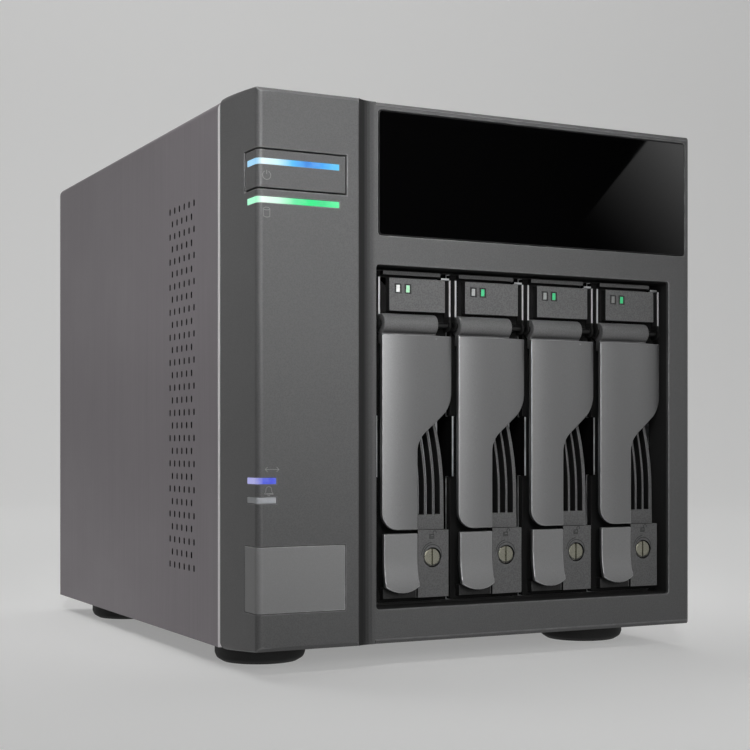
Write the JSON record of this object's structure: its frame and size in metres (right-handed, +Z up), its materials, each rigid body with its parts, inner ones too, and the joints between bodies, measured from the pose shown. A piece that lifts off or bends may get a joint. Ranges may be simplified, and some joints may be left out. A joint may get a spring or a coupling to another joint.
{
  "type": "network attached storage",
  "caption": "Desktop storage enclosure with upright pull-out drive trays, each with a hinged handle, release tab and lock, and a side column with a power button and light bars.",
  "frame": {"origin": "centre of the footprint on the table, under the feet", "axes": "+X to the right seen from the front, +Y to the rear, +Z up"},
  "size_m": [0.17, 0.23, 0.1855],
  "materials": {
    "cover": "dark warm grey, fine upright hairlines, satin",
    "bezel": "dark grey, fine spark-eroded texture",
    "window": "gloss black",
    "button": "dark grey, fine texture",
    "power_bar": "diffusing bar lit blue",
    "disk_bar": "diffusing bar lit green",
    "link_bar": "diffusing bar lit blue",
    "alert_bar": "diffusing bar, unlit, pale grey",
    "plate": "mid grey, satin",
    "circuit_board": "green circuit board",
    "chassis": "dark grey coated sheet",
    "feet": "black rubber",
    "cage": "plain zinc-coated sheet",
    "guides": "black moulded plastic",
    "connector": "black moulded plastic",
    "socket_shell": "plated shell",
    "supply_case": "plain zinc-coated sheet",
    "inlet": "black moulded plastic",
    "pins": "bright plated metal",
    "fan": "black moulded plastic",
    "wire": "plated wire",
    "screws": "plated steel",
    "tray_metal": "plain zinc-coated sheet",
    "tray_plastic": "dark grey, fine texture",
    "handle": "smooth metallic grey paint",
    "release_tab": "smooth metallic grey paint",
    "lock": "dull nickel-plated brass",
    "tray_light": "clear light windows, one lit green",
    "drive": "cast body with a pressed lid"
  },
  "bodies": {
    "root": {"outer_cover": "cover", "front_bezel": "bezel", "display_window": "window", "disk_light_bar": "disk_bar", "link_light_bar": "link_bar", "alert_light_bar": "alert_bar", "blank_plate": "plate", "indicator_board": "circuit_board", "base_plate": "chassis", "feet": "feet", "rear_panel": "chassis", "drive_cage": "cage", "guide_rails": "guides", "backplane_board": "circuit_board", "sata_connectors": "connector", "main_board": "circuit_board", "usb_socket": "socket_shell", "power_supply": "supply_case", "power_inlet": "inlet", "inlet_pins": "pins", "psu_bracket": "cage", "fan_frame": "fan", "fan_guard": "wire", "rear_screws": "screws"},
    "power_button": {"power_button": "button", "power_light_bar": "power_bar"},
    "fan_rotor": {"fan_rotor": "fan"},
    "psu_fan_rotor": {"psu_fan_rotor": "fan"},
    "tray_1": {"tray_sled_1": "tray_metal", "tray_front_1": "tray_plastic", "handle_pin_1": "pins", "tray_lights_1": "tray_light", "hard_drive_1": "drive"},
    "handle_1": {"tray_handle_1": "handle"},
    "release_1": {"release_tab_1": "release_tab"},
    "lock_1": {"tray_lock_1": "lock"},
    "tray_2": {"tray_sled_2": "tray_metal", "tray_front_2": "tray_plastic", "handle_pin_2": "pins", "tray_lights_2": "tray_light", "hard_drive_2": "drive"},
    "handle_2": {"tray_handle_2": "handle"},
    "release_2": {"release_tab_2": "release_tab"},
    "lock_2": {"tray_lock_2": "lock"},
    "tray_3": {"tray_sled_3": "tray_metal", "tray_front_3": "tray_plastic", "handle_pin_3": "pins", "tray_lights_3": "tray_light", "hard_drive_3": "drive"},
    "handle_3": {"tray_handle_3": "handle"},
    "release_3": {"release_tab_3": "release_tab"},
    "lock_3": {"tray_lock_3": "lock"},
    "tray_4": {"tray_sled_4": "tray_metal", "tray_front_4": "tray_plastic", "handle_pin_4": "pins", "tray_lights_4": "tray_light", "hard_drive_4": "drive"},
    "handle_4": {"tray_handle_4": "handle"},
    "release_4": {"release_tab_4": "release_tab"},
    "lock_4": {"tray_lock_4": "lock"}
  },
  "joints": [
    {"name": "power_button_press", "type": "slide", "parent": "root", "child": "power_button", "axis": [0, 1, 0], "range_m": [0, 0.0008], "stiffness_N_per_m": 600, "springref_m": -0.0008},
    {"name": "fan_spin", "type": "hinge", "parent": "root", "child": "fan_rotor", "pos_m": [0.01675, 0.0955, 0.0751], "axis": [0, 1, 0], "continuous": true},
    {"name": "psu_fan_spin", "type": "hinge", "parent": "root", "child": "psu_fan_rotor", "pos_m": [0.00975, 0.103, 0.15595], "axis": [0, 1, 0], "continuous": true},
    {"name": "tray_slide_1", "type": "slide", "parent": "root", "child": "tray_1", "axis": [0, -1, 0], "range_m": [0, 0.17]},
    {"name": "handle_hinge_1", "type": "hinge", "parent": "tray_1", "child": "handle_1", "pos_m": [-0.026, -0.1065, 0.1122], "axis": [-1, 0, 0], "range_deg": [0, 60]},
    {"name": "release_press_1", "type": "slide", "parent": "tray_1", "child": "release_1", "axis": [0, 0, -1], "range_m": [0, 0.0025], "stiffness_N_per_m": 200, "springref_m": -0.003},
    {"name": "lock_turn_1", "type": "hinge", "parent": "tray_1", "child": "lock_1", "pos_m": [-0.0194, -0.105, 0.0354], "axis": [0, -1, 0], "range_deg": [0, 90]},
    {"name": "tray_slide_2", "type": "slide", "parent": "root", "child": "tray_2", "axis": [0, -1, 0], "range_m": [0, 0.17]},
    {"name": "handle_hinge_2", "type": "hinge", "parent": "tray_2", "child": "handle_2", "pos_m": [0.0025, -0.1065, 0.1122], "axis": [-1, 0, 0], "range_deg": [0, 60]},
    {"name": "release_press_2", "type": "slide", "parent": "tray_2", "child": "release_2", "axis": [0, 0, -1], "range_m": [0, 0.0025], "stiffness_N_per_m": 200, "springref_m": -0.003},
    {"name": "lock_turn_2", "type": "hinge", "parent": "tray_2", "child": "lock_2", "pos_m": [0.0091, -0.105, 0.0354], "axis": [0, -1, 0], "range_deg": [0, 90]},
    {"name": "tray_slide_3", "type": "slide", "parent": "root", "child": "tray_3", "axis": [0, -1, 0], "range_m": [0, 0.17]},
    {"name": "handle_hinge_3", "type": "hinge", "parent": "tray_3", "child": "handle_3", "pos_m": [0.031, -0.1065, 0.1122], "axis": [-1, 0, 0], "range_deg": [0, 60]},
    {"name": "release_press_3", "type": "slide", "parent": "tray_3", "child": "release_3", "axis": [0, 0, -1], "range_m": [0, 0.0025], "stiffness_N_per_m": 200, "springref_m": -0.003},
    {"name": "lock_turn_3", "type": "hinge", "parent": "tray_3", "child": "lock_3", "pos_m": [0.0376, -0.105, 0.0354], "axis": [0, -1, 0], "range_deg": [0, 90]},
    {"name": "tray_slide_4", "type": "slide", "parent": "root", "child": "tray_4", "axis": [0, -1, 0], "range_m": [0, 0.17]},
    {"name": "handle_hinge_4", "type": "hinge", "parent": "tray_4", "child": "handle_4", "pos_m": [0.0595, -0.1065, 0.1122], "axis": [-1, 0, 0], "range_deg": [0, 60]},
    {"name": "release_press_4", "type": "slide", "parent": "tray_4", "child": "release_4", "axis": [0, 0, -1], "range_m": [0, 0.0025], "stiffness_N_per_m": 200, "springref_m": -0.003},
    {"name": "lock_turn_4", "type": "hinge", "parent": "tray_4", "child": "lock_4", "pos_m": [0.0661, -0.105, 0.0354], "axis": [0, -1, 0], "range_deg": [0, 90]}
  ]
}
